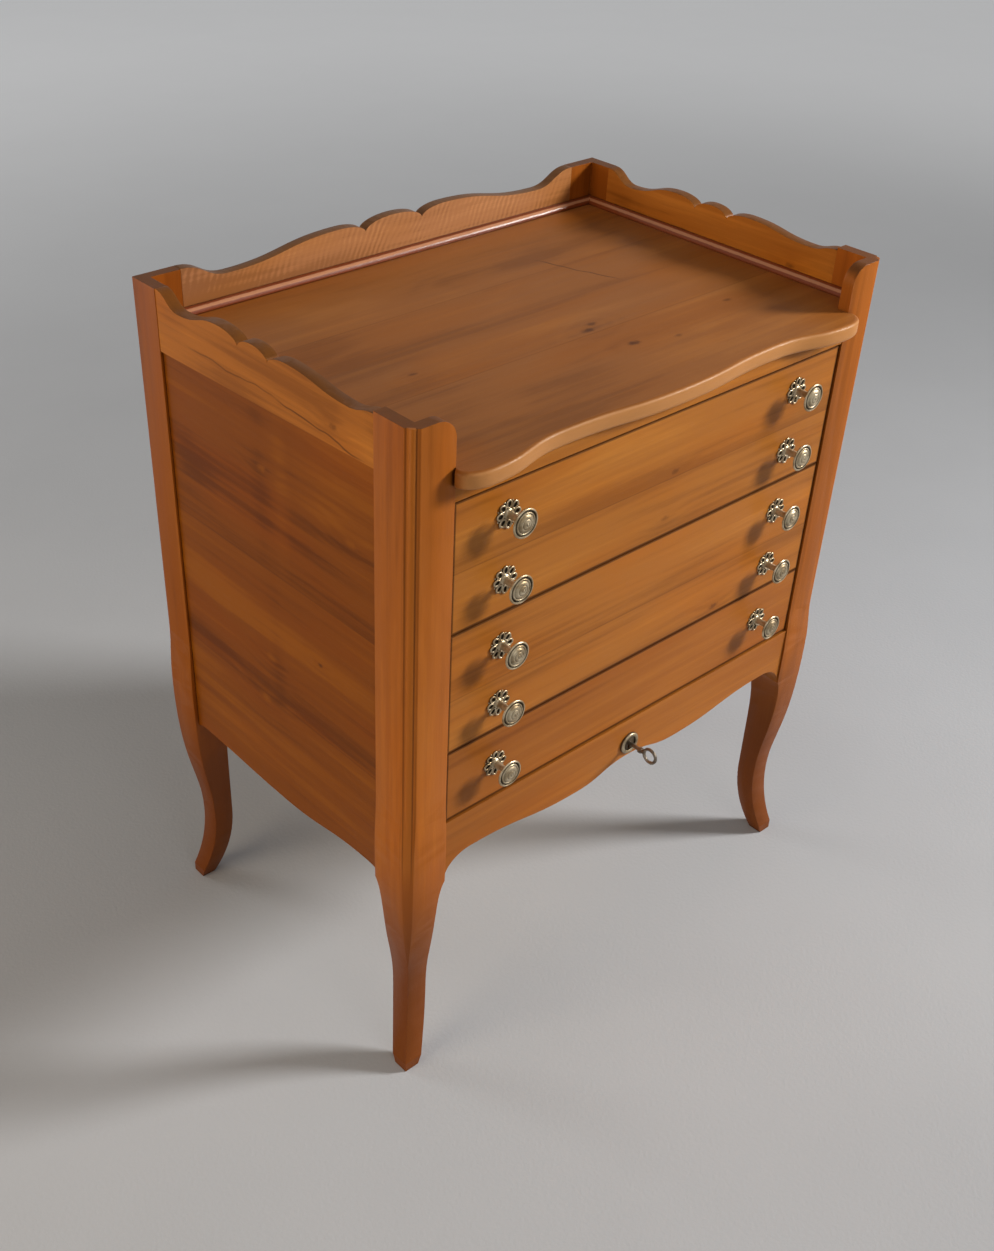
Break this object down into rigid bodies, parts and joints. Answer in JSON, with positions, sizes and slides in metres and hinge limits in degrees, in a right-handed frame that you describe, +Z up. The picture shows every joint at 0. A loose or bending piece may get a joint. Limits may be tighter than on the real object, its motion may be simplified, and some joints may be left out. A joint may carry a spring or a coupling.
{
  "type": "chest of drawers",
  "caption": "Small cherry-wood chest of drawers on curved legs, with a scalloped gallery round the top, brass knobs, a shaped apron and a lock with a ring key.",
  "frame": {"origin": "on the floor under the middle of the bounding box, between the key's bow in front and the back of the case", "axes": "+X to the right as seen from the front, +Y to the back, +Z up from the floor"},
  "size_m": [0.6344, 0.4616, 0.778],
  "materials": {
    "post_wood": "waxed cherry, reddish",
    "gallery_wood": "waxed cherry with ripple figure",
    "panel_wood": "waxed cherry with knots",
    "top_wood": "waxed cherry with dark streaks",
    "trim_wood": "waxed cherry",
    "drawer_front_wood": "waxed cherry",
    "inner_wood": "plain planed wood",
    "drawer_box_wood": "plain planed oak",
    "aged_brass": "aged, dull, with dark patina",
    "steel": "dull steel",
    "iron": "dark worn iron"
  },
  "bodies": {
    "case": {"front_left_post": "post_wood", "front_right_post": "post_wood", "back_left_post": "post_wood", "back_right_post": "post_wood", "left_side_rail": "gallery_wood", "right_side_rail": "gallery_wood", "back_gallery_rail": "gallery_wood", "left_side_panel": "panel_wood", "right_side_panel": "panel_wood", "top_board": "top_wood", "left_bead": "trim_wood", "right_bead": "trim_wood", "back_bead": "trim_wood", "top_front_rail": "trim_wood", "front_apron": "trim_wood", "back_panel": "inner_wood", "back_lower_rail": "inner_wood", "left_kicker": "inner_wood", "right_kicker": "inner_wood", "drawer_stops": "inner_wood", "left_runner_1": "inner_wood", "left_runner_2": "inner_wood", "left_runner_3": "inner_wood", "right_runner_1": "inner_wood", "right_runner_2": "inner_wood", "right_runner_3": "inner_wood", "escutcheon": "aged_brass", "escutcheon_pins": "aged_brass", "lock_case": "steel", "lock_screws": "steel", "kicker_screws": "steel"},
    "drawer_1": {"drawer_1_front": "drawer_front_wood", "drawer_1_left_side": "drawer_box_wood", "drawer_1_right_side": "drawer_box_wood", "drawer_1_back": "drawer_box_wood", "drawer_1_bottom": "drawer_box_wood", "drawer_1_rosettes": "aged_brass", "drawer_1_knobs": "aged_brass", "drawer_1_knob_nuts": "steel"},
    "drawer_2": {"drawer_2_front": "drawer_front_wood", "drawer_2_left_side": "drawer_box_wood", "drawer_2_right_side": "drawer_box_wood", "drawer_2_back": "drawer_box_wood", "drawer_2_bottom": "drawer_box_wood", "drawer_2_rosettes": "aged_brass", "drawer_2_knobs": "aged_brass", "drawer_2_knob_nuts": "steel"},
    "drawer_3": {"drawer_3_front": "drawer_front_wood", "drawer_3_left_side": "drawer_box_wood", "drawer_3_right_side": "drawer_box_wood", "drawer_3_back": "drawer_box_wood", "drawer_3_bottom": "drawer_box_wood", "drawer_3_rosettes": "aged_brass", "drawer_3_knobs": "aged_brass", "drawer_3_knob_nuts": "steel"},
    "lock_bolt_body": {"lock_bolt": "steel"},
    "key_body": {"key": "iron"}
  },
  "joints": [
    {"name": "drawer_1_slide", "type": "slide", "parent": "case", "child": "drawer_1", "axis": [0, -1, 0], "range_m": [0, 0.26]},
    {"name": "drawer_2_slide", "type": "slide", "parent": "case", "child": "drawer_2", "axis": [0, -1, 0], "range_m": [0, 0.26]},
    {"name": "drawer_3_slide", "type": "slide", "parent": "case", "child": "drawer_3", "axis": [0, -1, 0], "range_m": [0, 0.26]},
    {"name": "key_turn", "type": "hinge", "parent": "case", "child": "key_body", "pos_m": [0, -0.18935, 0.305], "axis": [0, 1, 0], "range_deg": [0, 180]},
    {"name": "bolt_lift", "type": "slide", "parent": "case", "child": "lock_bolt_body", "axis": [0, 0, 1], "range_m": [0, 0.007]}
  ],
  "couplings": [
    {"joint": "key_turn", "follows": "bolt_lift", "rad_per_m": 448.79}
  ]
}
